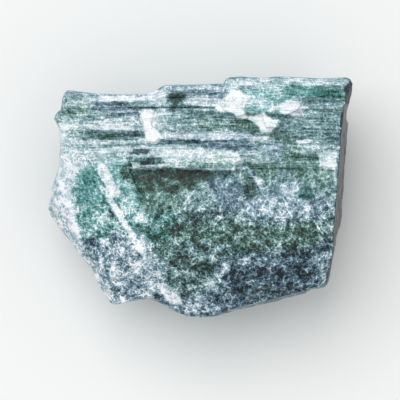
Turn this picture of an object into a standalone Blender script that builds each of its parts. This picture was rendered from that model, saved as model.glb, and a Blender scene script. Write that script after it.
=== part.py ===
"""A cloudy green tourmaline crystal: one broken prismatic fragment lying on a flat prism face.

X runs along the crystal, the way its growth lines run. Y runs across it and Z stands on the
resting face. The origin is under the middle of the fragment, on the resting face. Sizes are
in millimetres here and become metres where a mesh is made.
"""

import math
import random

import bmesh
import bpy
from mathutils import Matrix, Vector

MM = 0.001

# Driving dimensions
FACE_HEIGHT = 11.8
FACE_TILT = 2.0
GIRDLE_HEIGHT = 7.2

# How far the shapes that cut or fill reach, well clear of the crystal
REACH_X = 20.0
REACH_Y = 16.0
REACH_UP = 15.8
REACH_DOWN = -2.0

# The largest outline, seen from above, clockwise from the top left corner: 30.4 by 24.1
TOP_EDGE = (
    (-13.5, 10.4), (-13.2, 10.7), (-11.0, 10.4), (-8.0, 10.25), (-5.4, 10.3), (-4.7, 10.5),
    (-3.8, 11.05), (-3.4, 11.2), (0.0, 11.25), (2.4, 11.35), (2.5, 11.7), (2.9, 11.95),
    (4.0, 12.05), (6.5, 11.9), (7.6, 12.05), (10.0, 11.95), (12.2, 11.85), (14.5, 11.95),
    (15.0, 11.8), (15.2, 11.3),
)
RIGHT_EDGE = (
    (15.1, 10.2), (14.7, 8.9), (14.6, 7.9), (14.8, 7.3), (14.6, 4.7), (14.35, 1.5),
    (14.45, 0.7), (14.1, -2.5), (13.7, -4.0), (13.1, -7.3), (12.8, -8.7), (12.4, -9.15),
)
BOTTOM_EDGE = (
    (11.1, -9.25), (10.6, -9.65), (8.5, -10.1), (7.5, -10.5), (4.0, -11.25), (1.6, -11.95),
    (0.5, -12.05), (-1.2, -11.95), (-2.7, -11.35), (-4.2, -10.5), (-5.0, -10.2),
    (-6.6, -10.45), (-8.6, -10.85), (-9.3, -10.3),
)
LEFT_EDGE = (
    (-9.8, -9.4), (-10.8, -7.2), (-11.6, -6.4), (-13.2, -4.2), (-14.9, -2.0), (-15.2, -1.15),
    (-14.85, 0.2), (-14.9, 0.9), (-14.2, 2.7), (-13.95, 5.2), (-14.1, 7.2), (-14.6, 7.8),
    (-14.4, 8.3), (-13.9, 8.8), (-13.7, 10.0),
)
OUTLINE = TOP_EDGE + RIGHT_EDGE + BOTTOM_EDGE + LEFT_EDGE

# Each level of the walls: height, how far it draws in along X and along Y, and its roughness
WALL_LEVELS = (
    (0.0, 2.6, 5.0, 0.0),
    (2.5, 1.5, 3.2, 1.0),
    (4.9, 0.6, 1.5, 1.0),
    (GIRDLE_HEIGHT, 0.0, 0.0, 0.0),
    (9.3, 0.1, 0.1, 0.6),
    (11.3, 0.15, 0.15, 0.5),
    (13.4, 2.0, 2.0, 0.0),
)
WALL_ROUGHNESS = 0.45
WALL_SEED = 11
SPINE_HALF_LENGTH = 6.0

# The grown wall starts at this Y, and the walls turn broken over this distance below it
GROWN_WALL_Y = 8.0
BREAK_BLEND = 3.0

# How far up and down the widest line wanders, in waves round the crystal: count, share, shift
GIRDLE_SWING = 0.9
GIRDLE_WAVES = ((3.0, 1.0, 0.7), (7.0, 0.6, 0.0))

# The ridge between the broad face and the slanting left facet, seen from above
RIDGE_TOP = (-12.1, 4.3)
RIDGE_HEADING = 212.4
RIDGE_BEVEL_WIDTH = 0.9
RIDGE_BEVEL_STEEPNESS = 16.0
LEFT_FACET_WIDTH = 4.4
LEFT_FACET_STEEPNESS = 32.0

# Flat faces above the girdle: a point on each, its heading in plan, and its steepness
LEFT_RIM_STEEPNESS = 58.0
UPPER_FACES = (
    ((-12.7, 5.5, 12.3), 178.0, 30.0),
    ((6.0, -5.9, 11.6), -80.0, 24.0),
    ((-1.0, -8.6, 10.9), -112.0, 30.0),
    ((11.6, -6.0, 10.9), -52.0, 33.0),
    ((6.0, -10.2, 9.7), -78.0, 50.0),
)

# The broken right end: where it meets the broad face, its turn in plan and its steepness.
# It stops short of the rod along the upper edge.
END_X = 13.5
END_TURN = 5.0
END_STEEPNESS = 79.4
END_FOOT = 1.0
END_TOP_Y = 9.1
END_ROD_FLARE = 0.5

# Flat breaks below the girdle, in the same way
LOWER_FACES = (
    ((1.0, -10.6, 4.9), -91.0, 128.0),
    ((9.4, -8.6, 4.7), -62.0, 123.0),
    ((13.3, -5.0, 4.4), -18.0, 112.0),
    ((14.0, 3.6, 4.4), 4.0, 107.0),
    ((13.5, 8.9, 4.3), 36.0, 119.0),
    ((-12.5, 8.1, 4.1), 149.0, 119.0),
    ((-14.3, 2.4, 4.4), 176.0, 111.0),
    ((-13.0, -3.7, 4.4), 214.0, 121.0),
    ((-6.4, -9.4, 4.6), 252.0, 126.0),
)

# Growth layers left standing on the broad face, running along X.
# Each: lower and upper Y, left and right X, then its rise at the left and at the right.
LAYER_SINK = 1.5
LAYER_SLANT = 0.08
LAYER_SEED = 5

# The broken ends of a layer: how long at most, how long for its width, and how uneven
TAPER_LENGTH = 1.3
TAPER_FOR_WIDTH = 2.5
TAPER_SHARES = (0.2, 1.0)
TIP_SHARES = (0.1, 0.9)

GROWTH_LAYERS = (
    (3.0, 14.0, -17.0, -5.9, 0.08, 0.14),
    (2.9, 14.0, -6.3, 5.1, 0.16, 0.20),
    (2.75, 14.0, 4.6, 17.0, 0.12, 0.18),
    (9.0, 14.0, -17.0, -3.4, 0.26, 0.30),
    (9.75, 14.0, -4.4, 2.9, 0.44, 0.48),
    (9.15, 9.62, -4.0, 2.6, 0.34, 0.28),
    (8.2, 8.9, -13.0, -6.0, 0.24, 0.32),
    (7.4, 8.1, -17.0, -9.3, 0.20, 0.18),
    (7.3, 8.7, -4.9, 2.3, 0.34, 0.28),
    (6.5, 7.45, -12.4, -6.2, 0.26, 0.22),
    (6.2, 7.1, -3.7, 3.2, 0.38, 0.33),
    (5.0, 5.75, -12.0, -5.0, 0.28, 0.34),
    (5.45, 5.95, -4.3, 6.4, 0.40, 0.36),
    (4.9, 5.35, 0.6, 5.6, 0.32, 0.27),
    (5.2, 6.1, 6.9, 17.0, 0.28, 0.34),
    (3.9, 4.6, -10.6, -7.2, 0.22, 0.28),
    (3.5, 4.4, 4.9, 7.3, 0.34, 0.28),
    (6.6, 8.4, 9.2, 17.0, 0.24, 0.30),
    (3.1, 4.5, 8.6, 11.3, 0.24, 0.22),
)

# Finer growth lines spread over the striated half of the broad face
LINE_COUNT = 26
LINE_BAND = (3.2, 10.6)
LINE_STARTS = (-14.0, 10.0)
LINE_LENGTHS = (2.5, 8.0)
LINE_WIDTHS = (0.22, 0.38)
LINE_SLANT = 0.03
LINE_RISES = (0.26, 0.42)

# Broken plates with outlines of their own: a rise, then the outline seen from above
PALE_SLAB = (0.60, (
    (-4.5, 4.6), (-3.2, 5.15), (-1.0, 5.0), (0.8, 4.6), (2.3, 4.75), (3.6, 4.4),
    (4.45, 3.5), (3.55, 3.35), (3.5, 2.5), (-1.0, 2.6), (-3.4, 2.85), (-4.5, 2.62),
    (-5.5, 2.85), (-6.85, 2.62), (-6.7, 3.15), (-4.6, 3.25),
))
RIGHT_SHOULDER = (0.66, (
    (2.4, 14.0), (2.5, 9.9), (1.9, 9.2), (2.3, 8.5), (3.6, 7.8), (4.2, 8.0), (6.1, 8.1),
    (6.4, 6.75), (7.9, 6.7), (8.4, 7.9), (9.7, 8.5), (10.3, 9.6), (12.5, 9.9), (17.0, 9.7),
    (17.0, 14.0),
))
WHITE_STEP = (0.46, (
    (-6.0, 8.4), (-5.1, 8.75), (-4.4, 8.6), (-4.75, 7.1), (-3.7, 6.3), (-4.3, 5.3),
    (-5.4, 5.4), (-5.6, 6.85),
))
RIGHT_TILE = (0.30, (
    (11.9, 4.6), (17.0, 4.7), (17.0, 2.6), (13.2, 2.55), (12.0, 3.1),
))
RIDGE_PLATE = (0.16, (
    (-10.9, 3.6), (-9.4, 3.15), (-8.75, 2.25), (-8.25, 1.25), (-7.95, 0.25), (-8.7, 0.0),
    (-10.2, 1.2), (-12.0, 2.6),
))
LONG_SPLINTER = (0.16, (
    (4.3, 3.1), (5.3, 3.2), (6.7, 1.2), (8.4, -0.7), (8.1, -1.6), (6.5, -0.3), (5.1, 1.3),
))
RIGHT_TERRACE = (0.09, (
    (9.6, 3.2), (17.0, 3.2), (17.0, -3.3), (12.4, -3.1), (11.6, -1.2), (10.4, -0.6),
    (9.8, 0.9),
))
LOWER_TERRACE = (0.11, (
    (-3.4, -4.9), (-1.6, -3.9), (1.0, -4.2), (3.2, -3.5), (6.6, -3.9), (10.2, -3.6),
    (13.0, -4.4), (17.0, -4.6), (17.0, -9.0), (-3.0, -9.0),
))
BROKEN_PLATES = (
    PALE_SLAB, RIGHT_SHOULDER, WHITE_STEP, RIGHT_TILE, RIDGE_PLATE, LONG_SPLINTER,
    RIGHT_TERRACE, LOWER_TERRACE,
)

# Hollows sunk in the broad face: depth at the upper end and at the lower end, then the outline
SLAB_HOLLOW = (0.50, 0.03, (
    (-7.0, 2.75), (3.2, 2.7), (1.7, 1.2), (-0.6, 0.5), (-2.6, -0.8), (-5.2, -0.6), (-6.2, 0.9),
))
CENTRE_HOLLOW = (0.22, 0.02, (
    (4.6, 1.9), (5.2, 2.0), (5.9, 0.6), (5.5, -0.6), (4.7, -0.5),
))
RIGHT_HOLLOW = (0.22, 0.02, ((9.9, 1.0), (11.5, 0.8), (11.4, -0.6), (10.2, -0.5)))
HOLLOWS = (SLAB_HOLLOW, CENTRE_HOLLOW, RIGHT_HOLLOW)

# Slim columns of the crystal that show on the walls below the girdle.
# Each: left and right X, then the Y and Z of its middle line, its radius and its turn.
BACK_COLUMNS = (
    (2.2, 14.0, 9.75, 5.2, 1.25, 10.0),
    (4.6, 12.6, 8.75, 3.7, 1.10, 35.0),
    (1.4, 11.9, 7.65, 2.2, 1.15, 20.0),
    (3.6, 12.3, 6.85, 1.15, 1.0, 0.0),
    (-4.0, 3.8, 9.25, 5.3, 1.15, 20.0),
    (-5.4, 4.9, 8.05, 3.8, 1.15, 0.0),
    (-4.4, 2.6, 7.1, 2.35, 1.2, 45.0),
    (-7.8, 3.0, 6.0, 1.15, 1.0, 10.0),
    (-13.0, -3.6, 8.3, 5.4, 1.15, 25.0),
    (-11.6, -4.4, 7.15, 3.9, 1.2, 5.0),
    (-11.2, -5.2, 6.1, 2.4, 1.2, 50.0),
    (-10.4, -6.2, 5.3, 1.15, 1.0, 30.0),
    (7.5, 14.3, 10.75, 6.8, 1.0, 15.0),
    (-8.6, -2.2, 9.2, 7.1, 1.0, 30.0),
)
FRONT_COLUMNS = (
    (-2.6, 2.9, -8.8, 4.9, 1.3, 15.0),
    (-0.2, 7.4, -7.95, 3.7, 1.25, 40.0),
    (4.4, 10.6, -8.1, 5.5, 1.1, 5.0),
    (6.4, 11.6, -7.0, 3.4, 1.2, 25.0),
    (2.0, 10.9, -6.25, 1.9, 1.1, 50.0),
    (-8.9, -4.3, -7.8, 5.0, 1.2, 20.0),
    (-6.6, -1.4, -7.2, 3.3, 1.2, 0.0),
    (-7.7, 0.8, -6.4, 1.9, 1.15, 35.0),
    (-3.6, 4.0, -6.1, 1.15, 0.95, 10.0),
)
COLUMN_SIDES = 6
COLUMN_TAPER = 0.94
COLUMN_BREAK = 0.7

# Growth grooves along the grown wall at +Y: left and right X, Y, Z, width and depth
WALL_GROOVES = (
    (2.0, 16.0, 12.0, 9.7, 0.55, 0.40),
    (6.4, 16.0, 11.95, 8.3, 0.40, 0.30),
    (-3.9, 3.4, 11.25, 10.3, 0.45, 0.30),
    (-3.2, 2.0, 11.2, 8.9, 0.60, 0.40),
    (-15.0, -6.0, 10.3, 10.0, 0.45, 0.32),
    (-12.4, -4.6, 10.3, 8.6, 0.55, 0.38),
    (3.2, 9.4, 11.95, 7.5, 0.30, 0.22),
    (-10.0, -4.0, 10.3, 9.3, 0.30, 0.20),
)
GROOVE_CLEAR = 1.0

# Shell-shaped breaks: a point on the wall, its heading and steepness, radius and depth
BALL_FINENESS = 4
SHELL_BREAKS = (
    ((3.4, -6.5, 11.5), -84.0, 17.0, 22.0, 0.30),
    ((10.2, -7.4, 10.7), -58.0, 30.0, 16.0, 0.32),
    ((-0.2, -9.6, 10.2), -98.0, 33.0, 13.0, 0.34),
    ((6.4, -9.7, 9.7), -80.0, 44.0, 10.0, 0.26),
    ((-7.6, -9.0, 9.4), -128.0, 36.0, 9.0, 0.35),
    ((13.4, -6.6, 9.8), -34.0, 68.0, 8.0, 0.25),
    ((13.6, 3.0, 2.8), 2.0, 110.0, 10.0, 0.50),
    ((13.0, -4.4, 2.6), -20.0, 118.0, 8.0, 0.50),
    ((-13.2, 0.3, 3.0), 196.0, 116.0, 8.0, 0.60),
    ((-11.8, -5.6, 3.6), 222.0, 124.0, 7.0, 0.50),
    ((-13.2, 6.6, 3.4), 166.0, 112.0, 7.0, 0.50),
    ((5.2, -9.4, 4.0), -80.0, 122.0, 8.0, 0.55),
    ((-5.0, -8.9, 2.6), -98.0, 128.0, 7.0, 0.50),
)

# In metres, how near to a plane a point counts as on it
CUT_TOLERANCE = 1e-7

# A sharp corner of a plate moves in by at most this many times what its sides do
LONGEST_CORNER = 2.0

CRYSTAL_COLOUR = (0.105, 0.205, 0.205, 1.0)
CRYSTAL_ROUGHNESS = 0.45


def clear_scene():
    for item in list(bpy.data.objects):
        bpy.data.objects.remove(item)


def face_height(x, y):
    """The broad face leans down towards -Y."""
    return FACE_HEIGHT + math.tan(math.radians(FACE_TILT)) * y


def outward(heading, steepness):
    """A face's outward direction: its heading in plan and its steepness from level, in degrees."""
    around = math.radians(heading)
    down = math.radians(steepness)
    flat = math.sin(down)
    return Vector((flat * math.cos(around), flat * math.sin(around), math.cos(down)))


def finished(name, shape):
    """The shape as an object of the scene, its faces pointing out."""
    bmesh.ops.recalc_face_normals(shape, faces=shape.faces)
    mesh = bpy.data.meshes.new(name)
    shape.to_mesh(mesh)
    shape.free()
    item = bpy.data.objects.new(name, mesh)
    bpy.context.scene.collection.objects.link(item)
    return item


def helper(name, shape, group=None):
    """A shape that only serves to cut or to join: it isn't rendered."""
    item = finished(name, shape)
    item.hide_render = True
    item.display_type = "WIRE"
    if group:
        group.objects.link(item)
    return item


def group_of_helpers(name):
    group = bpy.data.collections.new(name)
    bpy.context.scene.collection.children.link(group)
    return group


def broken_share(y):
    """0 on the grown prism wall at +Y, 1 where the walls are broken."""
    return min(1.0, max(0.0, (GROWN_WALL_Y - y) / BREAK_BLEND))


def drawn_in(x, y, along_x, along_y):
    """A point of the outline moved towards the spine that runs through the crystal's middle."""
    spine_x = min(SPINE_HALF_LENGTH, max(-SPINE_HALF_LENGTH, x))
    away = Vector((x - spine_x, y)).normalized()
    return x - away.x * along_x, y - away.y * along_y


def wall_swing(x, y):
    """The broken walls bulge at a height that wanders round the crystal."""
    around = math.atan2(y, x)
    wave = sum(share * math.sin(count * around + shift) for count, share, shift in GIRDLE_WAVES)
    return GIRDLE_SWING * wave * broken_share(y)


def crystal_walls():
    """The whole crystal between its walls, level at the top, before its faces are cut."""
    shape = bmesh.new()
    chance = random.Random(WALL_SEED)
    top_height = WALL_LEVELS[-1][0]
    rings = []
    for height, along_x, along_y, roughness in WALL_LEVELS:
        ring = []
        swing_share = min(height, top_height - height) / GIRDLE_HEIGHT
        for x, y in OUTLINE:
            chip = chance.uniform(0.0, WALL_ROUGHNESS) * roughness * broken_share(y)
            place = drawn_in(x, y, along_x + chip, along_y + chip)
            z = height + wall_swing(x, y) * swing_share
            ring.append(shape.verts.new(Vector((*place, z)) * MM))
        rings.append(ring)
    for lower, upper in zip(rings, rings[1:]):
        for here in range(len(OUTLINE)):
            after = (here + 1) % len(OUTLINE)
            shape.faces.new((lower[here], lower[after], upper[after], upper[here]))
    walls = list(shape.faces)
    shape.faces.new(rings[0])
    shape.faces.new(rings[-1])
    bmesh.ops.recalc_face_normals(shape, faces=shape.faces)
    bmesh.ops.triangulate(shape, faces=walls)
    return shape


def cut_flat(shape, point, heading, steepness):
    """Cleaves off what lies outside the plane through the point, and closes the cut flat."""
    parts = list(shape.verts) + list(shape.edges) + list(shape.faces)
    cut = bmesh.ops.bisect_plane(
        shape,
        geom=parts,
        dist=CUT_TOLERANCE,
        plane_co=Vector(point) * MM,
        plane_no=outward(heading, steepness),
        clear_outer=True,
    )
    rim = [part for part in cut["geom_cut"] if isinstance(part, bmesh.types.BMEdge)]
    bmesh.ops.edgeloop_fill(shape, edges=rim)


def beyond_ridge(distance):
    """The point that far outside the top of the ridge, square to it, seen from above."""
    way = outward(RIDGE_HEADING, 90.0)
    return RIDGE_TOP[0] + way.x * distance, RIDGE_TOP[1] + way.y * distance


def cut_faces(shape):
    """Cuts the flat faces that bound the crystal, all but the broad face."""
    bevel_top = beyond_ridge(-RIDGE_BEVEL_WIDTH)
    bevel_drop = RIDGE_BEVEL_WIDTH * math.tan(math.radians(RIDGE_BEVEL_STEEPNESS))
    facet_drop = LEFT_FACET_WIDTH * math.tan(math.radians(LEFT_FACET_STEEPNESS))
    bevel_height = face_height(*bevel_top)
    ridge_height = bevel_height - bevel_drop
    rim_height = ridge_height - facet_drop
    cut_flat(shape, (*bevel_top, bevel_height), RIDGE_HEADING, RIDGE_BEVEL_STEEPNESS)
    cut_flat(shape, (*RIDGE_TOP, ridge_height), RIDGE_HEADING, LEFT_FACET_STEEPNESS)
    rim = (*beyond_ridge(LEFT_FACET_WIDTH), rim_height)
    cut_flat(shape, rim, RIDGE_HEADING, LEFT_RIM_STEEPNESS)
    for face in UPPER_FACES + LOWER_FACES:
        cut_flat(shape, *face)


def shrunk(outline, amount):
    """The outline with each side moved inwards by the amount."""
    turning = sum(
        a[0] * b[1] - b[0] * a[1] for a, b in zip(outline, outline[1:] + outline[:1])
    )
    side = 1.0 if turning > 0.0 else -1.0
    smaller = []
    for here, point in enumerate(outline):
        before = Vector(point) - Vector(outline[here - 1])
        after = Vector(outline[(here + 1) % len(outline)]) - Vector(point)
        before.normalize()
        after.normalize()
        inward = Vector((-before.y - after.y, before.x + after.x)) * side
        reach = 2.0 / max(inward.length, 2.0 / LONGEST_CORNER)
        inward = inward.normalized() * reach
        smaller.append((point[0] + inward.x * amount, point[1] + inward.y * amount))
    return smaller


def closed_rings(*rings):
    """A closed shape over rings of points, the first and the last ring each one face."""
    shape = bmesh.new()
    levels = [[shape.verts.new(Vector(point) * MM) for point in ring] for ring in rings]
    shape.faces.new(levels[0])
    shape.faces.new(levels[-1])
    count = len(levels[0])
    for lower, upper in zip(levels, levels[1:]):
        for here in range(count):
            after = (here + 1) % count
            shape.faces.new((lower[here], lower[after], upper[after], upper[here]))
    return shape


def standing_plate(outline, rise_left, rise_right, slant=LAYER_SLANT):
    """A plate standing on the broad face, its sides leaning in a little."""
    left = min(x for x, _ in outline)
    right = max(x for x, _ in outline)
    upper = []
    for x, y in shrunk(outline, slant):
        share = (x - left) / (right - left)
        rise = rise_left + (rise_right - rise_left) * share
        upper.append((x, y, face_height(x, y) + rise))
    lower = [(x, y, FACE_HEIGHT - LAYER_SINK) for x, y in outline]
    return closed_rings(lower, upper)


def splintered(low, high, left, right, chance):
    """The outline of one growth layer, each of its two ends broken to an uneven point."""
    width = high - low
    taper = min(TAPER_LENGTH, width * TAPER_FOR_WIDTH)
    tip_right = low + width * chance.uniform(*TIP_SHARES)
    tip_left = low + width * chance.uniform(*TIP_SHARES)
    return (
        (right - taper * chance.uniform(*TAPER_SHARES), low),
        (right, tip_right),
        (right - taper * chance.uniform(*TAPER_SHARES), high),
        (left + taper * chance.uniform(*TAPER_SHARES), high),
        (left, tip_left),
        (left + taper * chance.uniform(*TAPER_SHARES), low),
    )


def growth_line(chance):
    """One fine growth line: its outline and its rise."""
    low = chance.uniform(*LINE_BAND)
    left = chance.uniform(*LINE_STARTS)
    right = left + chance.uniform(*LINE_LENGTHS)
    outline = splintered(low, low + chance.uniform(*LINE_WIDTHS), left, right, chance)
    return outline, chance.uniform(*LINE_RISES)


def crystal_layers():
    """All below the broad face, joined to the layers and plates that stand on it."""
    corners = ((-REACH_X, -REACH_Y), (REACH_X, -REACH_Y), (REACH_X, REACH_Y), (-REACH_X, REACH_Y))
    lower = [(x, y, REACH_DOWN) for x, y in corners]
    upper = [(x, y, face_height(x, y)) for x, y in corners]
    body = helper("below_broad_face", closed_rings(lower, upper))
    plates = group_of_helpers("plates")
    chance = random.Random(LAYER_SEED)
    for low, high, left, right, *rises in GROWTH_LAYERS:
        outline = splintered(low, high, left, right, chance)
        helper("growth_layer", standing_plate(outline, *rises), plates)
    for _ in range(LINE_COUNT):
        outline, rise = growth_line(chance)
        helper("growth_line", standing_plate(outline, rise, rise, LINE_SLANT), plates)
    for rise, outline in BROKEN_PLATES:
        helper("broken_plate", standing_plate(outline, rise, rise), plates)
    join(body, "plates", "UNION", group=plates)
    return body


def column(left, right, y, z, radius, turn):
    """A six-sided column lying along X, each end broken on a slant."""
    shape = bmesh.new()
    bmesh.ops.create_cone(
        shape,
        cap_ends=True,
        segments=COLUMN_SIDES,
        radius1=radius * MM,
        radius2=radius * MM * COLUMN_TAPER,
        depth=(right - left) * MM,
    )
    lie_down = Matrix.Rotation(math.radians(90.0), 4, "Y")
    spin = Matrix.Rotation(math.radians(turn), 4, "X")
    place = Matrix.Translation(Vector(((left + right) / 2.0, y, z)) * MM)
    shape.transform(place @ spin @ lie_down)
    for corner in shape.verts:
        way = 1.0 if corner.co.x > place.translation.x else -1.0
        height = (corner.co.z - place.translation.z) / radius
        corner.co.x -= way * COLUMN_BREAK * abs(height)
    return shape


def end_break():
    """What is missing beyond the broken right end, below the upper rod."""
    rings = []
    for height in (END_FOOT, REACH_UP):
        run = END_X + (FACE_HEIGHT - height) / math.tan(math.radians(END_STEEPNESS))
        corners = []
        for y in (-REACH_Y, END_TOP_Y):
            corners.append((run + y * math.tan(math.radians(END_TURN)), y, height))
        corners.append((REACH_X, END_TOP_Y + END_ROD_FLARE, height))
        corners.append((REACH_X, -REACH_Y, height))
        rings.append(corners)
    return closed_rings(*rings)


def groove(left, right, y, z, width, depth):
    """A wedge along X that bites into the wall at +Y, shallower towards its ends."""
    back = y + GROOVE_CLEAR
    spread = width * (1.0 + GROOVE_CLEAR / depth) / 2.0
    rings = []
    for x in (left, right):
        rings.append(((x, y - depth, z), (x, back, z + spread), (x, back, z - spread)))
    return closed_rings(*rings)


def shell_break(point, heading, steepness, radius, depth):
    """A ball that bites a shallow dish out of the wall."""
    shape = bmesh.new()
    bmesh.ops.create_icosphere(shape, subdivisions=BALL_FINENESS, radius=radius * MM)
    centre = Vector(point) + outward(heading, steepness) * (radius - depth)
    shape.transform(Matrix.Translation(centre * MM))
    return shape


def hollow(depth_high, depth_low, outline):
    """A pit in the broad face whose floor climbs towards -Y."""
    low = min(y for _, y in outline)
    high = max(y for _, y in outline)
    floor = []
    for x, y in outline:
        share = (y - low) / (high - low)
        depth = depth_low + (depth_high - depth_low) * share
        floor.append((x, y, face_height(x, y) - depth))
    roof = [(x, y, REACH_UP) for x, y in outline]
    return closed_rings(floor, roof)


def join(item, name, operation, other=None, group=None):
    """Adds a Boolean with one other object or with a whole group of them."""
    boolean = item.modifiers.new(name, "BOOLEAN")
    boolean.operation = operation
    boolean.solver = "EXACT"
    if group:
        boolean.operand_type = "COLLECTION"
        boolean.collection = group
    else:
        boolean.object = other


def crystal_material():
    material = bpy.data.materials.new("cloudy green tourmaline")
    material.use_nodes = True
    shader = material.node_tree.nodes["Principled BSDF"]
    shader.inputs["Base Color"].default_value = CRYSTAL_COLOUR
    shader.inputs["Roughness"].default_value = CRYSTAL_ROUGHNESS
    shader.inputs["Metallic"].default_value = 0.0
    return material


def crystal():
    """The whole fragment: walls and faces, then layers, columns, grooves and breaks."""
    shape = crystal_walls()
    cut_faces(shape)
    item = finished("crystal", shape)
    item.data.materials.append(crystal_material())
    join(item, "layers", "INTERSECT", other=crystal_layers())

    columns = group_of_helpers("columns")
    for sizes in BACK_COLUMNS + FRONT_COLUMNS:
        helper("column", column(*sizes), columns)
    join(item, "columns", "UNION", group=columns)

    cuts = group_of_helpers("cuts")
    helper("end_break", end_break(), cuts)
    for sizes in WALL_GROOVES:
        helper("groove", groove(*sizes), cuts)
    for sizes in SHELL_BREAKS:
        helper("shell_break", shell_break(*sizes), cuts)
    for sizes in HOLLOWS:
        helper("hollow", hollow(*sizes), cuts)
    join(item, "cuts", "DIFFERENCE", group=cuts)

    return item


clear_scene()
crystal()
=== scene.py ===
"""The looks of the tourmaline crystal: its fine surface, its finish, the table and the light.

Sizes are in millimetres in the crystal's own frame: X along its growth lines, Y across them, Z up from
the face it rests on. Marks on the broad side are placed as they show from straight above.
"""

import itertools
import math

import bpy
import numpy as np
from mathutils import Euler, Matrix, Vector
from mathutils.bvhtree import BVHTree


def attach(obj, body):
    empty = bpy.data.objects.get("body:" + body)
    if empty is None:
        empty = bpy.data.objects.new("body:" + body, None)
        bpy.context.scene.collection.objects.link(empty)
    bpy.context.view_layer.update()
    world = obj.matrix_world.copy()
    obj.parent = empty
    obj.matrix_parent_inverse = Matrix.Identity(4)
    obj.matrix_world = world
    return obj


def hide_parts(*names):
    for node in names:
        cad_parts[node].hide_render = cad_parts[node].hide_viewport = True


MM = 0.001

# The fine surface: the size of its faces. From a little below the widest line down, where nothing is
# as fine, only a share of them is kept.
FACE_SIZE = 0.125
THINNED_BELOW = 1.0
KEPT_BELOW = 0.36
MOST_TRIANGLES = 196000

# The eye, straight above the widest line, where 40 mm fill the picture
GIRDLE_HEIGHT = 7.2
EYE_HEIGHT = 400.0
EYE_Y = -0.3
EYE_NEAREST = 10.0
FILM_WIDTH = 36.0
VIEW_WIDTH = 40.0

# The table: half its width, and the height of its top
TABLE_REACH = 4000.0
TABLE_Z = -0.02

# Each lamp: its height above the table and where it stands, counted from +X towards +Y, both in
# degrees, then its strength and how wide it looks, in degrees
KEY_LAMP = (52.0, 128.0, 1.75, 60.0)
SIDE_LAMP = (60.0, 20.0, 0.45, 90.0)
FRONT_LAMP = (60.0, 262.0, 0.45, 90.0)

# The room: the light it gives, and how light it shows behind the table
ROOM_LIGHT = 0.36
ROOM_SEEN = 0.93

# The kinds of surface. Each starts at the first number and is full at the second: slopes are the
# upward, +Y or +X part of the surface's direction, and the rest are places in mm.
BROAD_SLOPE = (0.45, 0.75)
UPPER_SLOPE = (0.02, 0.2)
GROWTH_LINES_V = (2.1, 3.1)
WALL_SLOPE = (0.6, 0.85)
WALL_Y = (7.0, 9.0)
RESTING_SLOPE = (0.7, 0.95)
RESTING_DEPTH = (-0.6, -0.2)
WIDEST_SLOPE = (0.25, 0.6)
END_SLOPE = (0.55, 0.8)
END_X = (10.0, 12.5)
LOWER_V = (-1.0, 2.5)

# Lumps of the stone. Each: their size along X, Y and Z, their seed, how many layers of ever smaller
# lumps there are, and how much of its strength each layer keeps.
LEDGES = ((5.0, 0.8, 3.0), 3, 3, 0.7)
GROWTH_LINES = ((6.0, 0.42, 0.42), 8, 3, 0.75)
SUGAR = ((0.5, 0.5, 0.5), 20, 2, 0.7)
BLOCKS = ((2.6, 1.6, 1.6), 30, 3, 0.6)
CHIPS = ((1.1, 0.8, 0.8), 40, 2, 0.6)
CLOUDS = ((4.0, 2.2, 2.2), 50, 3, 0.7)
CRUSTS = ((1.6, 0.9, 0.9), 60, 3, 0.7)
WALL_ROWS = ((7.0, 0.55, 0.55), 70, 3, 0.8)
TINT_DRIFT = ((6.0, 4.0, 4.0), 80, 2, 0.6)
RIM_LUMPS = ((0.8, 0.35, 0.5), 90, 3, 0.8)
BLOTS = ((1.5, 1.0, 1.0), 100, 3, 0.8)

# How far the lumps stand out, in mm, and how many steps the ledges make of each unit
LEDGE_HEIGHT = 0.11
LEDGE_STEPS = 3.5
GROWTH_LINE_HEIGHT = 0.05
SUGAR_HEIGHT = 0.045
BLOCK_HEIGHT = 0.05
WALL_LINE_HEIGHT = 0.11
WALL_BLOCK_HEIGHT = 0.04
BROKEN_BLOCK_HEIGHT = 0.20
CHIP_DEPTH = 0.16
CALM_AT_WIDEST = 0.55

# The sides, which have no marks: their lightness, and how far each kind of lump changes it
SIDE_LIGHTNESS = 0.50
CLOUD_CHANGE = 0.26
CRUST_CHANGE = 0.22
WALL_ROW_CHANGE = 0.30
LEAF_DRIFT = (0.0, 0.5)
STEEL_DRIFT = (0.05, 0.5)
SIDE_TINT = 0.5

# The steep broken end towards +X, painted nearly black: partly the dark clear stone, partly painted
# shade of this side, which faces away from the key lamp
SHADED_END_LIGHTNESS = 0.02

# The grain shows most on the lower part and least where the stone is frosted white
LOWER_GRAIN = 0.35
CALM_LIGHTNESS = (0.72, 0.92)
CALM_GRAIN = 0.45
END_CALM = 0.6
BLOT_CHANGE = 0.10
LOWER_BLOT_CHANGE = 0.12
CALM_BLOTS = 0.5

# The four families of colour, each from its darkest to its frosted state.
# Each stop: how light the spot is, then its colour.
SEA = (
    (0.04, "#0A1512"), (0.13, "#1C2E2B"), (0.20, "#24413F"), (0.32, "#3C5D5D"),
    (0.45, "#577C7F"), (0.58, "#769BA1"), (0.69, "#98B8BE"), (0.82, "#BFD4DA"),
    (0.94, "#EBF2F5"), (1.00, "#FAFCFD"),
)
LEAF = (
    (0.04, "#0A150C"), (0.13, "#142A1A"), (0.20, "#1F3F2C"), (0.32, "#355D4C"),
    (0.45, "#537D6C"), (0.58, "#749E91"), (0.69, "#98BEB4"), (0.82, "#C4DAD4"),
    (0.94, "#EDF4F1"), (1.00, "#FAFCFB"),
)
STEEL = (
    (0.04, "#080F17"), (0.13, "#172536"), (0.20, "#26394C"), (0.32, "#3C5568"),
    (0.45, "#587488"), (0.58, "#7694A7"), (0.69, "#9BB4C4"), (0.82, "#C5D4E0"),
    (0.94, "#EBF0F7"), (1.00, "#FAFBFE"),
)
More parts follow.
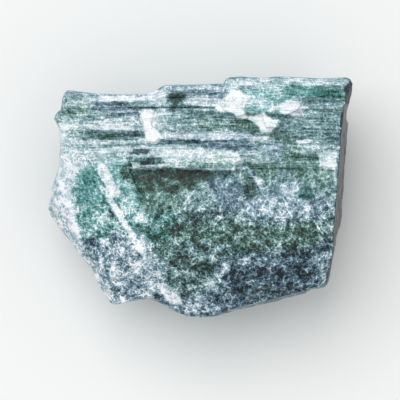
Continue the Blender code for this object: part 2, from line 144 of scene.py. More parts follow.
LAGOON = (
    (0.04, "#062019"), (0.13, "#0D3A2F"), (0.20, "#17544A"), (0.32, "#326F68"),
    (0.45, "#4F8A87"), (0.58, "#6BA4A5"), (0.69, "#8EBDC2"), (0.82, "#BAD6DC"),
    (0.94, "#E9F2F5"), (1.00, "#FAFDFD"),
)
TINTS = {"sea": SEA, "leaf": LEAF, "steel": STEEL, "lagoon": LAGOON}
RUST = "#7A4A35"
GOLD = "#D8C27A"

TABLE = "#F2F3F3"
STUDIO_WHITE = "#FFFFFF"

# Marks of the broad side, painted first to last. Each: middle U and V as seen from above, half
# length, half width, turn in degrees, lightness, family of colour, and how soft its rim is.
BROAD_ZONES = (
    (0.0, 7.2, 17.0, 4.6, 0, 0.62, "sea", 0.8),
    (3.5, 0.2, 11.5, 3.4, 0, 0.52, "sea", 0.8),
    (4.6, -4.2, 10.0, 1.6, 0, 0.34, "leaf", 0.6),
    (5.5, -8.6, 9.5, 3.0, 8, 0.32, "steel", 0.7),
    (-1.0, -7.8, 2.8, 3.2, 0, 0.40, "sea", 0.7),
    (0.0, -11.2, 4.5, 1.4, 0, 0.46, "steel", 0.5),
    (-10.6, -0.8, 4.6, 6.0, 25, 0.63, "lagoon", 0.6),
    (-8.2, -7.2, 4.6, 3.8, 0, 0.66, "steel", 0.6),
    (-14.2, 0.2, 1.9, 5.5, 0, 0.83, "steel", 0.5),
    (-11.9, -6.5, 5.2, 0.9, -57, 0.84, "steel", 0.4),
    (-13.4, 4.7, 2.0, 2.8, 0, 0.89, "sea", 0.4),
    (-11.4, 4.6, 2.6, 1.2, 0, 0.79, "sea", 0.4),
    (-7.8, 4.9, 3.0, 0.8, 0, 0.70, "sea", 0.3),
    (12.2, 7.2, 2.5, 2.8, 0, 0.56, "sea", 0.6),
    (8.5, -1.3, 4.8, 1.4, 0, 0.62, "steel", 0.5),
    (2.2, 0.1, 2.0, 2.0, 0, 0.50, "steel", 0.5),
    (11.5, 2.7, 1.8, 1.8, 0, 0.53, "leaf", 0.4),
    (12.6, -6.4, 1.2, 2.3, 0, 0.47, "steel", 0.4),
)
GROWTH_ROWS = (
    (-9.3, 10.5, 4.8, 0.55, -2, 0.66, "steel", 0.15),
    (0.5, 10.8, 4.4, 0.45, 1, 0.70, "steel", 0.15),
    (9.0, 11.5, 6.2, 0.45, 0, 0.80, "sea", 0.12),
    (-0.5, 10.35, 3.2, 0.16, 0, 0.48, "steel", 0.08),
    (-7.8, 9.85, 2.6, 0.28, 0, 0.90, "steel", 0.10),
    (-10.6, 9.1, 0.9, 0.45, 0, 0.42, "steel", 0.15),
    (-8.4, 8.8, 1.1, 0.75, 0, 0.43, "steel", 0.20),
    (-6.7, 8.3, 1.0, 0.80, 0, 0.54, "steel", 0.20),
    (-12.1, 8.5, 1.2, 0.90, 20, 0.58, "leaf", 0.25),
    (-9.5, 7.4, 3.3, 0.55, 0, 0.79, "sea", 0.15),
    (-8.2, 6.85, 3.3, 0.20, 0, 0.88, "steel", 0.08),
    (-9.1, 6.1, 3.7, 0.42, 0, 0.46, "sea", 0.12),
    (-9.3, 6.1, 0.8, 0.36, 0, 0.34, "leaf", 0.12),
    (-6.7, 6.3, 1.2, 0.26, 0, 0.24, "steel", 0.08),
    (-12.4, 6.3, 0.9, 0.50, 0, 0.63, "leaf", 0.20),
    (-7.5, 4.75, 2.6, 0.22, 0, 0.87, "sea", 0.10),
    (-4.3, 10.0, 1.0, 0.80, 0, 0.87, "steel", 0.15),
    (-3.7, 7.5, 1.3, 1.30, 0, 0.77, "sea", 0.30),
    (-2.3, 9.9, 0.9, 0.62, 0, 0.22, "sea", 0.18),
    (-2.3, 8.9, 0.9, 0.50, 0, 0.34, "sea", 0.18),
    (0.7, 9.6, 2.2, 0.50, 0, 0.80, "steel", 0.15),
    (-0.2, 8.6, 2.5, 0.42, 0, 0.49, "sea", 0.15),
    (-2.5, 7.2, 1.7, 0.90, 0, 0.67, "sea", 0.25),
    (1.2, 7.2, 1.5, 0.80, 0, 0.54, "leaf", 0.25),
    (4.5, 7.1, 1.6, 0.85, 0, 0.38, "leaf", 0.15),
    (0.8, 6.1, 4.6, 0.42, 0, 0.84, "steel", 0.12),
    (-3.4, 5.2, 1.0, 0.50, 0, 0.35, "steel", 0.15),
    (-0.6, 5.5, 1.0, 0.20, 0, 0.33, "steel", 0.08),
    (2.6, 5.1, 2.6, 0.55, 0, 0.51, "steel", 0.15),
    (7.3, 5.0, 1.3, 0.80, 0, 0.66, "steel", 0.25),
    (6.7, 5.8, 1.9, 0.32, 0, 0.92, "sea", 0.08),
    (5.3, 4.0, 0.9, 0.50, 0, 0.76, "sea", 0.15),
    (9.2, 4.2, 0.9, 1.50, 0, 0.47, "leaf", 0.30),
    (6.8, 9.6, 2.6, 1.30, 0, 0.74, "lagoon", 0.30),
    (11.5, 10.5, 3.1, 0.58, -3, 0.42, "lagoon", 0.18),
    (12.6, 10.4, 1.5, 0.45, -4, 0.29, "lagoon", 0.18),
    (9.1, 8.9, 1.2, 0.75, 0, 0.92, "steel", 0.12),
    (7.9, 8.1, 1.2, 0.28, -8, 0.26, "sea", 0.12),
    (9.0, 6.7, 1.5, 1.20, 0, 0.46, "sea", 0.30),
    (8.3, 5.9, 1.6, 0.45, 0, 0.46, "leaf", 0.20),
    (10.4, 5.5, 0.7, 0.22, 0, 0.94, "sea", 0.08),
    # The last row is painted shadow: a thin dark line along the growth lines
    (-3.5, 8.95, 5.3, 0.08, 0, 0.20, "sea", 0.05),
)
LOWER_MARKS = (
    # The first two marks are painted shadow: the dark band under the lower edge of the slab
    (-3.5, 2.2, 4.6, 0.66, 0, 0.21, "leaf", 0.15),
    (-1.4, 2.3, 2.7, 0.42, 0, 0.10, "leaf", 0.12),
    (-3.5, 1.0, 3.4, 0.80, 0, 0.33, "leaf", 0.35),
    (-6.9, 2.5, 1.0, 1.00, -40, 0.30, "leaf", 0.20),
    (5.1, 2.5, 1.0, 1.00, 0, 0.44, "leaf", 0.25),
    (5.0, 0.7, 0.6, 0.80, 0, 0.24, "sea", 0.20),
    (6.9, 2.5, 0.8, 0.90, 0, 0.40, "leaf", 0.20),
    (9.0, 0.8, 1.1, 0.70, 0, 0.74, "steel", 0.20),
    (10.5, 0.3, 0.8, 0.55, 0, 0.24, "lagoon", 0.15),
    (7.2, -0.9, 1.3, 0.60, 0, 0.72, "steel", 0.25),
    (-0.4, -0.4, 1.8, 1.10, 0, 0.60, "sea", 0.40),
    (-4.0, -0.8, 2.2, 1.20, 0, 0.46, "leaf", 0.40),
    (-0.3, -2.2, 1.8, 0.70, 0, 0.31, "sea", 0.25),
    (-3.7, -2.2, 1.3, 0.70, 0, 0.35, "lagoon", 0.25),
    (-4.2, -3.9, 1.1, 0.85, 0, 0.26, "lagoon", 0.25),
    (-3.2, -5.3, 1.3, 0.90, 0, 0.50, "leaf", 0.30),
    (10.8, -3.4, 1.4, 0.90, 0, 0.29, "leaf", 0.25),
    (0.0, -5.5, 2.8, 1.00, 0, 0.42, "sea", 0.30),
    (3.8, -7.3, 1.0, 0.65, 0, 0.16, "steel", 0.15),
    (3.4, -8.5, 0.8, 0.45, 0, 0.19, "steel", 0.15),
    (2.2, -7.3, 0.9, 0.60, 50, 0.66, "steel", 0.12),
    (1.0, -8.6, 1.2, 0.55, 10, 0.63, "sea", 0.15),
    (4.6, -6.4, 0.7, 0.40, 0, 0.56, "steel", 0.12),
    (-1.3, -6.8, 0.8, 1.20, 0, 0.33, "sea", 0.20),
    (-0.7, -11.1, 0.9, 0.50, 0, 0.66, "steel", 0.15),
    (-11.0, 1.7, 1.3, 0.90, 0, 0.50, "lagoon", 0.25),
    (-11.2, 0.4, 1.4, 0.60, 0, 0.51, "lagoon", 0.25),
    (-8.9, -1.8, 0.35, 0.60, 10, 0.33, "sea", 0.12),
    (-9.7, -3.6, 0.6, 0.50, 0, 0.40, "lagoon", 0.15),
    (-10.8, -4.7, 0.9, 0.60, 0, 0.48, "steel", 0.15),
    (-7.3, -9.3, 1.8, 0.95, 0, 0.53, "steel", 0.20),
    (-9.4, -9.5, 0.7, 1.00, 0, 0.80, "steel", 0.15),
    (-13.0, -1.3, 3.3, 0.32, -72, 0.94, "steel", 0.15),
    (-7.0, -0.3, 2.8, 0.60, -62, 0.71, "lagoon", 0.15),
    (-7.2, -3.2, 4.7, 0.32, -58.4, 0.96, "sea", 0.08),
    (-3.0, -9.8, 1.6, 0.55, -50, 0.94, "steel", 0.12),
    (-9.2, 0.7, 3.9, 0.06, -55.5, 0.36, "steel", 0.04),
    (6.2, 1.0, 2.7, 0.26, -51, 0.74, "steel", 0.20),
    (-1.3, -0.3, 0.9, 0.07, 52, 0.88, "leaf", 0.05),
    (7.0, 2.1, 0.11, 0.80, 0, 0.72, "leaf", 0.08),
    (12.0, -3.3, 1.4, 0.06, -57, 0.88, "steel", 0.05),
)

# Frosted plates with outlines of their own: lightness, family of colour, then the outline
SLAB = (0.83, "sea", (
    (-6.6, 5.0), (-3.4, 5.3), (-1.0, 5.1), (0.8, 4.7), (2.3, 4.85), (3.7, 4.45), (4.5, 3.5),
    (3.6, 3.35), (3.5, 2.6), (-1.0, 2.7), (-3.4, 2.95), (-4.5, 2.7), (-6.8, 2.7),
))
WHITE_STEP = (0.97, "sea", (
    (-6.1, 8.6), (-5.1, 8.85), (-4.3, 8.6), (-4.7, 7.1), (-3.7, 6.2), (-4.3, 5.3),
    (-5.4, 5.4), (-5.6, 6.85),
))
UPPER_WHITE = (0.97, "sea", (
    (3.2, 10.8), (4.2, 10.6), (4.8, 9.7), (4.3, 8.7), (4.7, 7.9), (3.8, 7.8), (3.2, 8.5),
    (2.1, 8.4), (1.6, 8.9), (2.2, 9.6),
))
MIDDLE_WHITE = (0.96, "sea", (
    (4.6, 8.0), (5.9, 8.2), (6.4, 8.5), (6.9, 7.9), (7.8, 7.7), (7.6, 7.0), (7.0, 6.4),
    (6.2, 6.4), (5.8, 7.1),
))
PALE_TILE = (0.86, "sea", ((11.7, 4.5), (13.7, 4.6), (13.6, 2.7), (13.2, 2.7), (12.0, 3.1)))
RIDGE_PLATE = (0.90, "sea", (
    (-10.3, 3.7), (-9.4, 3.2), (-8.7, 1.9), (-8.1, 0.8), (-8.0, 0.0), (-8.8, -0.2), (-9.4, 0.9),
    (-10.2, 2.4),
))
FROSTED_PLATES = (SLAB, WHITE_STEP, UPPER_WHITE, MIDDLE_WHITE, PALE_TILE, RIDGE_PLATE)
SLAB_MARKS = (
    (0.6, 3.3, 3.0, 0.40, 0, 0.65, "leaf", 0.15),
    (-5.9, 4.6, 0.9, 0.32, 0, 0.27, "steel", 0.08),
    (-5.0, 3.6, 1.6, 0.36, 0, 0.30, "sea", 0.08),
    (-5.3, 4.1, 1.5, 0.10, 0, 0.72, "steel", 0.06),
    (-5.2, 2.95, 1.6, 0.14, 0, 0.75, "steel", 0.06),
)
# The rims of marks and plates: how far the lumps break them, how much of a thin mark they may take,
# how soft a plate's rim is, and how square the long ovals are
RIM_BREAK = 0.16
THIN_BREAK = 0.7
PLATE_RIM = 0.07
OVAL_POWER = 2.6

# How far a mark takes on its own family of colour; the rest stays sea green
FAMILY_SHARE = {"leaf": 0.5, "steel": 0.7, "lagoon": 1.0}

# The grain that the material draws. Everything is counted per millimetre: the grain is about 0.9 mm
# with finer layers down to 0.1 mm. The growth lines are 0.7 mm wide with layers down to 0.04 mm, and
# nine times as long. The real ones go finer still, and are drawn this coarse to show.
GRAIN_PER_MM = 1.1
GRAIN_LAYERS = 3.0
GRAIN_KEEP = 0.85
LINES_PER_MM = (0.16, 1.5, 1.5)
LINE_LAYERS = 4.0
LINE_KEEP = 0.95
GRAIN_CHANGE = 1.8
LINE_CHANGE = 1.75
GRAIN_ON_LINES = 0.55

# Bright veins round cells of 0.5 and 0.25 mm, bent by small lumps; the widths are shares of a cell.
# The real veins are hairlines, drawn wide enough to show.
BENDS_PER_MM = 1.6
BEND_LAYERS = 2.0
BEND_REACH = 0.7
CELLS_PER_MM = 1.9
VEIN_WIDTH = 0.10
VEIN_BRIGHT = 0.24
FINE_CELLS_PER_MM = 4.2
FINE_VEIN_WIDTH = 0.14
FINE_VEIN_BRIGHT = 0.15

# Painted glints: bright dots up to 0.2 mm across that stand for the sparkle of small facets, in the
# cells that are picked for them
GLINTS_PER_MM = 3.0
GLINT_PICK = 0.72
GLINT_REACH = 1.1
GLINT_RIM = 9.0
GLINT_BRIGHT = 0.28

# What veins and painted glints add on average, taken off again
WEB_MEAN = 0.115

# Specks of rust and gold, 0.2 mm across, one cell in ten
SPECKS_PER_MM = 1.1
SPECK_PICK = 0.90
SPECK_REACH = 0.11
SPECK_SHOWS = 0.75
RUST_PICK = 0.6

# The finish: glassy on clear stone, dull on frosted stone, with a shallow grain that follows the light
GLASSY = 0.28
FROSTED_MORE = 0.35
GRAIN_DEPTH = 0.06
GRAIN_STRENGTH = 0.55
TOURMALINE_IOR = 1.62
SHINE = 0.25
TABLE_ROUGHNESS = 0.9


def linear(colour):
    """A hex colour of the screen as the linear light values that shaders take."""
    parts = []
    for start in (1, 3, 5):
        value = int(colour[start:start + 2], 16) / 255.0
        parts.append(value / 12.92 if value <= 0.04045 else ((value + 0.055) / 1.055) ** 2.4)
    return (*parts, 1.0)


def scatter(cells, seed):
    """An even random number from 0 to 1 for each whole-numbered cell."""
    mixed = cells @ np.array((12.9898, 78.233, 37.719)) + seed * 4.137
    return np.modf(np.abs(np.sin(mixed) * 43758.5453))[0]


def lumps(points, size, seed):
    """Smooth lumps from -1 to 1, as large as the size along X, Y and Z."""
    place = points / np.array(size, float) + seed * 7.31
    base = np.floor(place)
    part = place - base
    part = part * part * (3.0 - 2.0 * part)
    total = np.zeros(len(points))
    for corner in itertools.product((0.0, 1.0), repeat=3):
        share = np.prod(np.where(np.array(corner) > 0.5, part, 1.0 - part), axis=1)
        total += share * scatter(base + corner, seed)
    return total * 2.0 - 1.0


def rough(points, size, seed, layers, keep):
    """Lumps on lumps, each layer half the size of the last and that much weaker."""
    total = np.zeros(len(points))
    most = 0.0
    for layer in range(layers):
        layer_size = np.array(size, float) / 2.0 ** layer
        total += lumps(points, layer_size, seed + layer) * keep ** layer
        most += keep ** layer
    return total / most


def ramp(value, low, high):
    """0 below low, 1 above high, with a smooth climb between them."""
    share = np.clip((value - low) / (high - low), 0.0, 1.0)
    return share * share * (3.0 - 2.0 * share)


def as_seen(points):
    """Where each point shows from the eye, straight above, on the plane of the widest line."""
    nearer = EYE_HEIGHT / (EYE_HEIGHT + GIRDLE_HEIGHT - points[:, 2])
    return points[:, 0] * nearer, EYE_Y + (points[:, 1] - EYE_Y) * nearer


def places(mesh):
    """Where the points of a mesh are, one row for each."""
    flat = np.empty(len(mesh.vertices) * 3, np.float32)
    mesh.vertices.foreach_get("co", flat)
    return flat.reshape(-1, 3).astype(float)


def directions(mesh):
    """Which way the surface faces at each point of a mesh, one row for each."""
    flat = np.empty(len(mesh.vertices) * 3, np.float32)
    mesh.vertex_normals.foreach_get("vector", flat)
    return flat.reshape(-1, 3).astype(float)


def put_places(mesh, points):
    """Moves the points of a mesh to these places."""
    mesh.vertices.foreach_set("co", points.astype(np.float32).ravel())
    mesh.update()


def after_modifiers(item):
    """The mesh that the object's modifiers give, as a mesh of its own."""
    seen = item.evaluated_get(bpy.context.evaluated_depsgraph_get())
    return bpy.data.meshes.new_from_object(seen)


def even_mesh(solid):
    """The solid's shape in small even faces, in millimetres, laid back on its own flat faces."""
    work = bpy.data.objects.new("tourmaline_crystal", solid.data.copy())
    bpy.context.scene.collection.objects.link(work)
    work.data.materials.clear()
    put_places(work.data, places(work.data) / MM)
    true_shape = BVHTree.FromPolygons(
        [corner.co for corner in work.data.vertices],
        [tuple(face.vertices) for face in work.data.polygons],
    )
    remesh = work.modifiers.new("even", "REMESH")
    remesh.mode = "VOXEL"
    remesh.voxel_size = FACE_SIZE
    mesh = after_modifiers(work)
    work.modifiers.clear()
    work.data = mesh
    points = places(mesh)
    for here, point in enumerate(points):
        points[here] = true_shape.find_nearest(Vector(point))[0]
    put_places(mesh, points)
    return work


def zones(points, normals):
    """How much each point belongs to each kind of surface, from 0 to 1, and where it shows."""
    u, v = as_seen(points)
    up = normals[:, 2]
    broad = ramp(up, *BROAD_SLOPE)
    return {
        "u": u,
        "v": v,
        "above": ramp(up, *UPPER_SLOPE),
        "broad": broad,
        "striated": broad * ramp(v, *GROWTH_LINES_V),
        "grown_wall": ramp(normals[:, 1], *WALL_SLOPE) * ramp(points[:, 1], *WALL_Y),
        "resting": ramp(-up, *RESTING_SLOPE) * ramp(-points[:, 2], *RESTING_DEPTH),
        "widest": 1.0 - ramp(np.abs(up), *WIDEST_SLOPE),
        "broken_end": ramp(normals[:, 0], *END_SLOPE) * ramp(points[:, 0], *END_X),
    }


def relief(points, zone):
    """How far the fine surface stands out from the flat one, in mm."""
    ledges = np.round(rough(points, *LEDGES) * LEDGE_STEPS) / LEDGE_STEPS
    growth_lines = rough(points, *GROWTH_LINES)
    blocks = rough(points, *BLOCKS)
    chips = np.abs(rough(points, *CHIPS))
    broken = 1.0 - np.maximum(zone["broad"], zone["grown_wall"])
    height = (LEDGE_HEIGHT * ledges + GROWTH_LINE_HEIGHT * growth_lines) * zone["striated"]
    height += SUGAR_HEIGHT * rough(points, *SUGAR)
    height += BLOCK_HEIGHT * blocks * zone["broad"]
    height += (WALL_LINE_HEIGHT * growth_lines + WALL_BLOCK_HEIGHT * blocks) * zone["grown_wall"]
    height += (BROKEN_BLOCK_HEIGHT * blocks - CHIP_DEPTH * chips) * broken
    height *= 1.0 - CALM_AT_WIDEST * zone["widest"]
    return height * (1.0 - zone["resting"])


def thin_below(work):
    """Fewer faces below the widest line, where nothing is as fine as on the broad side."""
    points = places(work.data)
    below = work.vertex_groups.new(name="below")
    low = np.nonzero(points[:, 2] < GIRDLE_HEIGHT - THINNED_BELOW)[0]
    below.add([int(index) for index in low], 1.0, "REPLACE")
    share_below = len(low) / len(points)
    decimate = work.modifiers.new("thin", "DECIMATE")
    decimate.vertex_group = "below"
    total = 2 * len(work.data.polygons)
    wanted = min(MOST_TRIANGLES, total * (1.0 - share_below * (1.0 - KEPT_BELOW)))
    decimate.ratio = wanted / total
    mesh = after_modifiers(work)
    work.modifiers.clear()
    work.vertex_groups.clear()
    work.data = mesh


def painted(paint, share, lightness, family):
    """Lays one mark over what is there already."""
    paint["lightness"] += (lightness - paint["lightness"]) * share
    for name, most in FAMILY_SHARE.items():
        paint[name] += ((most if name == family else 0.0) - paint[name]) * share


def oval_share(u, v, ragged, mark):
    """1 inside a long oval mark and 0 outside it, with a rim that small lumps break."""
    middle_u, middle_v, half_length, half_width, turn, _, _, rim = mark
    angle = math.radians(turn)
    along = (u - middle_u) * math.cos(angle) + (v - middle_v) * math.sin(angle)
    across = (v - middle_v) * math.cos(angle) - (u - middle_u) * math.sin(angle)
    long_way = (np.abs(along) / half_length) ** OVAL_POWER
    short_way = (np.abs(across) / half_width) ** OVAL_POWER
    away = (long_way + short_way) ** (1.0 / OVAL_POWER)
    thin = min(half_length, half_width)
    outside = (away - 1.0) * thin + ragged * min(RIM_BREAK, thin * THIN_BREAK)
    return 1.0 - ramp(outside, -rim, rim)


def outline_share(u, v, ragged, outline):
    """1 inside an outline and 0 outside it, with the same broken rim."""
    nearest = np.full(len(u), np.inf)
    inside = np.zeros(len(u), bool)
    for (u1, v1), (u2, v2) in zip(outline, outline[1:] + outline[:1]):
        side_u = u2 - u1
        side_v = v2 - v1
        length_squared = side_u ** 2 + side_v ** 2
        share = np.clip(((u - u1) * side_u + (v - v1) * side_v) / length_squared, 0.0, 1.0)
        nearest = np.minimum(nearest, np.hypot(u - u1 - side_u * share, v - v1 - side_v * share))
        if side_v != 0.0:
            spans = (v1 > v) != (v2 > v)
            inside ^= spans & (u < u1 + (v - v1) * side_u / side_v)
    outside = np.where(inside, -nearest, nearest) + ragged * RIM_BREAK
    return 1.0 - ramp(outside, -PLATE_RIM, PLATE_RIM)


def mottled(points, zone):
    """The finish of the sides and of all that the marks leave free."""
    drift = rough(points, *TINT_DRIFT)
    lightness = SIDE_LIGHTNESS + CLOUD_CHANGE * rough(points, *CLOUDS)
    lightness += CRUST_CHANGE * rough(points, *CRUSTS)
    lightness += WALL_ROW_CHANGE * rough(points, *WALL_ROWS) * zone["grown_wall"]
    return {
        "lightness": lightness,
        "leaf": ramp(drift, *LEAF_DRIFT) * SIDE_TINT,
        "steel": ramp(-drift, *STEEL_DRIFT) * SIDE_TINT,
        "lagoon": np.zeros(len(points)),
    }


def paint_crystal(points, normals):
    """The lightness and the colour family of every point, all round the crystal."""
    zone = zones(points, normals)
    u = zone["u"]
    v = zone["v"]
    above = zone["above"]
    ragged = rough(points, *RIM_LUMPS)
    paint = mottled(points, zone)
    for mark in BROAD_ZONES + GROWTH_ROWS + LOWER_MARKS:
        painted(paint, oval_share(u, v, ragged, mark) * above, mark[5], mark[6])
    for lightness, family, outline in FROSTED_PLATES:
        painted(paint, outline_share(u, v, ragged, outline) * above, lightness, family)
    for mark in SLAB_MARKS:
        painted(paint, oval_share(u, v, ragged, mark) * above, mark[5], mark[6])
    # The broken end is painted nearly black, partly the dark clear stone and partly painted shade
    painted(paint, zone["broken_end"], SHADED_END_LIGHTNESS, "steel")
    paint["streaks"] = np.maximum(zone["striated"], zone["grown_wall"])
    calm = ramp(paint["lightness"], *CALM_LIGHTNESS)
    lower = above * ramp(-v, *LOWER_V)
    paint["contrast"] = 1.0 + LOWER_GRAIN * lower - CALM_GRAIN * calm - END_CALM * zone["broken_end"]
    change = (BLOT_CHANGE + LOWER_BLOT_CHANGE * lower) * (1.0 - CALM_BLOTS * calm)
    paint["lightness"] += change * rough(points, *BLOTS)
    return paint


def keep_paint(mesh, paint):
    """Stores the paint with the points of the mesh, for the material to read."""
    for name, values in paint.items():
        layer = mesh.attributes.new(name, "FLOAT", "POINT")
        layer.data.foreach_set("value", values.astype(np.float32))


def add(tree, kind, values=None, links=None, **settings):
    """Adds a node with its settings, the values of its inputs and the links into them."""
    item = tree.nodes.new(kind)
    for name, value in settings.items():
        setattr(item, name, value)
    for socket, value in (values or {}).items():
        item.inputs[socket].default_value = value
    for socket, source in (links or {}).items():
        tree.links.new(source, item.inputs[socket])
    return item


def grain_and_lines(tree, point, streaks):
    """Grain in all directions, and long streaks where the growth lines run."""
    grain = add(tree, "ShaderNodeTexNoise",
                {"Scale": GRAIN_PER_MM, "Detail": GRAIN_LAYERS, "Roughness": GRAIN_KEEP},
                {"Vector": point})
    drawn_out = add(tree, "ShaderNodeVectorMath", {1: LINES_PER_MM}, {0: point},
                    operation="MULTIPLY")
    lines = add(tree, "ShaderNodeTexNoise",
                {"Scale": 1.0, "Detail": LINE_LAYERS, "Roughness": LINE_KEEP},
                {"Vector": drawn_out.outputs[0]})
    grain_part = add(tree, "ShaderNodeMath", {1: GRAIN_CHANGE, 2: -0.5 * GRAIN_CHANGE},
                     {0: grain.outputs["Fac"]}, operation="MULTIPLY_ADD").outputs[0]
    line_part = add(tree, "ShaderNodeMath", {1: LINE_CHANGE, 2: -0.5 * LINE_CHANGE},
                    {0: lines.outputs["Fac"]}, operation="MULTIPLY_ADD").outputs[0]
    both = add(tree, "ShaderNodeMath", {1: GRAIN_ON_LINES}, {0: grain_part, 2: line_part},
               operation="MULTIPLY_ADD").outputs[0]
    return add(tree, "ShaderNodeMix", None, {0: streaks, 2: grain_part, 3: both},
               data_type="FLOAT").outputs[0]


def veins_and_painted_glints(tree, point):
    """Bright veins where the stone is crazed, and painted glints: bright dots for the sparkle of small
    facets.
    """
    bent = add(tree, "ShaderNodeTexNoise", {"Scale": BENDS_PER_MM, "Detail": BEND_LAYERS},
               {"Vector": point})
    bend = add(tree, "ShaderNodeVectorMath", {1: (BEND_REACH,) * 3},
               {0: bent.outputs["Color"], 2: point}, operation="MULTIPLY_ADD").outputs[0]
    cells = add(tree, "ShaderNodeTexVoronoi", {"Scale": CELLS_PER_MM}, {"Vector": bend},
                feature="DISTANCE_TO_EDGE")
    veins = add(tree, "ShaderNodeMapRange",
                {"From Max": VEIN_WIDTH, "To Min": VEIN_BRIGHT, "To Max": 0.0},
                {"Value": cells.outputs["Distance"]}).outputs[0]
    fine_cells = add(tree, "ShaderNodeTexVoronoi", {"Scale": FINE_CELLS_PER_MM}, {"Vector": bend},
                     feature="DISTANCE_TO_EDGE")
    fine_veins = add(tree, "ShaderNodeMapRange",
                     {"From Max": FINE_VEIN_WIDTH, "To Min": FINE_VEIN_BRIGHT, "To Max": 0.0},
                     {"Value": fine_cells.outputs["Distance"]}).outputs[0]
    # Painted glints: bright dots in picked cells, for the sparkle of small facets
    glint_cells = add(tree, "ShaderNodeTexVoronoi", {"Scale": GLINTS_PER_MM}, {"Vector": point})
    picked = add(tree, "ShaderNodeSeparateColor", None, {0: glint_cells.outputs["Color"]})
    over_pick = add(tree, "ShaderNodeMath", {1: GLINT_PICK}, {0: picked.outputs[0]},
                    operation="SUBTRACT", use_clamp=True).outputs[0]
    reach = add(tree, "ShaderNodeMath", {1: GLINT_REACH}, {0: over_pick},
                operation="MULTIPLY").outputs[0]
    within = add(tree, "ShaderNodeMath", None, {0: reach, 1: glint_cells.outputs["Distance"]},
                 operation="SUBTRACT").outputs[0]
    glint = add(tree, "ShaderNodeMath", {1: GLINT_RIM}, {0: within},
                operation="MULTIPLY", use_clamp=True).outputs[0]
    web = add(tree, "ShaderNodeMath", None, {0: veins, 1: fine_veins}, operation="ADD").outputs[0]
    return add(tree, "ShaderNodeMath", {1: GLINT_BRIGHT}, {0: glint, 2: web},
               operation="MULTIPLY_ADD").outputs[0]


def stone_colour(tree, light, stored):
    """The colour that each family gives at this lightness, mixed as the paint says."""
    colours = {}
    for name, stops in TINTS.items():
        item = add(tree, "ShaderNodeValToRGB", None, {0: light})
        marks = item.color_ramp.elements
        while len(marks) < len(stops):
            marks.new(0.5)
        for mark, (place, colour) in zip(marks, stops):
            mark.position = place
            mark.color = linear(colour)
        colours[name] = item.outputs["Color"]
    mixed = colours["sea"]
    for name in FAMILY_SHARE:
        mixed = add(tree, "ShaderNodeMix", None, {0: stored[name], 6: mixed, 7: colours[name]},
                    data_type="RGBA").outputs[2]
    return mixed


def specks(tree, point, colour):
    """Small specks of rust and gold on the stone's own colour."""
    cells = add(tree, "ShaderNodeTexVoronoi", {"Scale": SPECKS_PER_MM}, {"Vector": point})
    picks = add(tree, "ShaderNodeSeparateColor", None, {0: cells.outputs["Color"]})
    chosen = add(tree, "ShaderNodeMath", {1: SPECK_PICK}, {0: picks.outputs[1]},
                 operation="GREATER_THAN").outputs[0]
    near = add(tree, "ShaderNodeMath", {1: SPECK_REACH}, {0: cells.outputs["Distance"]},
               operation="LESS_THAN").outputs[0]
    both = add(tree, "ShaderNodeMath", None, {0: chosen, 1: near}, operation="MULTIPLY").outputs[0]
    spot = add(tree, "ShaderNodeMath", {1: SPECK_SHOWS}, {0: both}, operation="MULTIPLY").outputs[0]
    rusty = add(tree, "ShaderNodeMath", {1: RUST_PICK}, {0: picks.outputs[2]},
                operation="GREATER_THAN").outputs[0]
    stain = add(tree, "ShaderNodeMix", {6: linear(GOLD), 7: linear(RUST)}, {0: rusty},
                data_type="RGBA").outputs[2]
    return add(tree, "ShaderNodeMix", None, {0: spot, 6: colour, 7: stain},
               data_type="RGBA").outputs[2]


def cloudy_tourmaline():
    """Green tourmaline, cleaved and broken, never polished.

    It is glassy and dark where it is clear, and dull and near white where it is shattered. The light
    stays in the top layer, so it is drawn as opaque. The shine is set below that of polished stone,
    because small breaks scatter it.
    """
    material = bpy.data.materials.new("cloudy broken tourmaline")
    material.use_nodes = True
    tree = material.node_tree
    shader = tree.nodes["Principled BSDF"]
    metres = add(tree, "ShaderNodeTexCoord").outputs["Object"]
    point = add(tree, "ShaderNodeVectorMath", {1: (1.0 / MM,) * 3}, {0: metres},
                operation="MULTIPLY").outputs[0]
    stored = {}
    for name in ("lightness", "leaf", "steel", "lagoon", "streaks", "contrast"):
        stored[name] = add(tree, "ShaderNodeAttribute", attribute_name=name).outputs["Fac"]
    grain = grain_and_lines(tree, point, stored["streaks"])
    # Veins, with painted glints for the sparkle of small facets
    web = veins_and_painted_glints(tree, point)
    evened = add(tree, "ShaderNodeMath", {1: WEB_MEAN}, {0: web}, operation="SUBTRACT").outputs[0]
    detail = add(tree, "ShaderNodeMath", None, {0: grain, 1: evened}, operation="ADD").outputs[0]
    light = add(tree, "ShaderNodeMath", None, {0: detail, 1: stored["contrast"], 2: stored["lightness"]},
                operation="MULTIPLY_ADD", use_clamp=True).outputs[0]
    colour = specks(tree, point, stone_colour(tree, light, stored))
    frost = add(tree, "ShaderNodeMath", {1: FROSTED_MORE, 2: GLASSY}, {0: light},
                operation="MULTIPLY_ADD").outputs[0]
    bump = add(tree, "ShaderNodeBump", {"Strength": GRAIN_STRENGTH, "Distance": GRAIN_DEPTH * MM},
               {"Height": light}).outputs[0]
    tree.links.new(colour, shader.inputs["Base Color"])
    tree.links.new(frost, shader.inputs["Roughness"])
    tree.links.new(bump, shader.inputs["Normal"])
    shader.inputs["IOR"].default_value = TOURMALINE_IOR
    shader.inputs["Specular IOR Level"].default_value = SHINE
    return material


def matt_table_paint():
    """Matt white paint, sprayed: it gives the eye nothing but an even pale ground."""
    material = bpy.data.materials.new("matt white table top")
    material.use_nodes = True
    shader = material.node_tree.nodes["Principled BSDF"]
    shader.inputs["Base Color"].default_value = linear(TABLE)
    shader.inputs["Roughness"].default_value = TABLE_ROUGHNESS
    return material


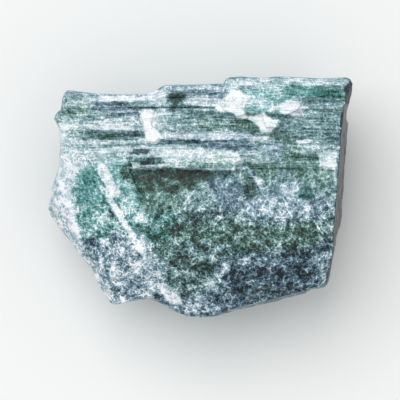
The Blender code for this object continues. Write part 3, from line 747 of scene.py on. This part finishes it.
def table_top():
    """A wide flat table, just under the face that the crystal rests on."""
    mesh = bpy.data.meshes.new("table_top")
    reach = TABLE_REACH * MM
    height = TABLE_Z * MM
    corners = [(-reach, -reach, height), (reach, -reach, height), (reach, reach, height),
               (-reach, reach, height)]
    mesh.from_pydata(corners, [], [(0, 1, 2, 3)])
    mesh.materials.append(matt_table_paint())
    item = bpy.data.objects.new("table_top", mesh)
    bpy.context.scene.collection.objects.link(item)


def soft_lamp(name, height, heading, strength, width):
    """A far lamp that looks wide, so that its shadows are soft."""
    lamp = bpy.data.lights.new(name, "SUN")
    lamp.energy = strength
    lamp.angle = math.radians(width)
    item = bpy.data.objects.new(name, lamp)
    item.rotation_euler = Euler((0.0, math.radians(90.0 - height), math.radians(heading)))
    bpy.context.scene.collection.objects.link(item)


def studio():
    """Soft lamps all round, the strongest at the upper left, in a pale room."""
    soft_lamp("key_lamp", *KEY_LAMP)
    soft_lamp("side_lamp", *SIDE_LAMP)
    soft_lamp("front_lamp", *FRONT_LAMP)
    room = bpy.data.worlds.new("pale room")
    bpy.context.scene.world = room
    room.use_nodes = True
    tree = room.node_tree
    walls = tree.nodes["Background"]
    walls.inputs["Color"].default_value = linear(STUDIO_WHITE)
    seen = add(tree, "ShaderNodeLightPath").outputs["Is Camera Ray"]
    strength = add(tree, "ShaderNodeMix", {2: ROOM_LIGHT, 3: ROOM_SEEN}, {0: seen},
                   data_type="FLOAT").outputs[0]
    tree.links.new(strength, walls.inputs["Strength"])
    bpy.context.scene.view_settings.view_transform = "Standard"


def eye():
    """The camera looks straight down from so far that the crystal shows without slant."""
    camera = bpy.data.cameras.new("eye")
    camera.sensor_width = FILM_WIDTH
    camera.lens = FILM_WIDTH * EYE_HEIGHT / VIEW_WIDTH
    camera.clip_start = EYE_NEAREST * MM
    item = bpy.data.objects.new("eye", camera)
    item.location = Vector((0.0, EYE_Y, GIRDLE_HEIGHT + EYE_HEIGHT)) * MM
    bpy.context.scene.collection.objects.link(item)
    bpy.context.scene.camera = item


def crystal(solid):
    """The whole crystal in its fine surface, painted, in place of the plain solid."""
    work = even_mesh(solid)
    points = places(work.data)
    normals = directions(work.data)
    points += normals * relief(points, zones(points, normals))[:, None]
    points[:, 2] = np.maximum(points[:, 2], 0.0)
    put_places(work.data, points)
    thin_below(work)
    keep_paint(work.data, paint_crystal(places(work.data), directions(work.data)))
    put_places(work.data, places(work.data) * MM)
    work.data.shade_smooth()
    work.data.materials.clear()
    work.data.materials.append(cloudy_tourmaline())
    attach(work, "root")
    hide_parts("crystal")


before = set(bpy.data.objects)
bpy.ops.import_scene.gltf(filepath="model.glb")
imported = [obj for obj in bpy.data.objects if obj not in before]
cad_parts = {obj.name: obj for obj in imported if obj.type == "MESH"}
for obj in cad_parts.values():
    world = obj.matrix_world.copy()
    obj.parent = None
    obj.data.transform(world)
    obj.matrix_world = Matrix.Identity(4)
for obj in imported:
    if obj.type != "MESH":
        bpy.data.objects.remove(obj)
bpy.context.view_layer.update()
crystal(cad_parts["crystal"])
table_top()
studio()
eye()
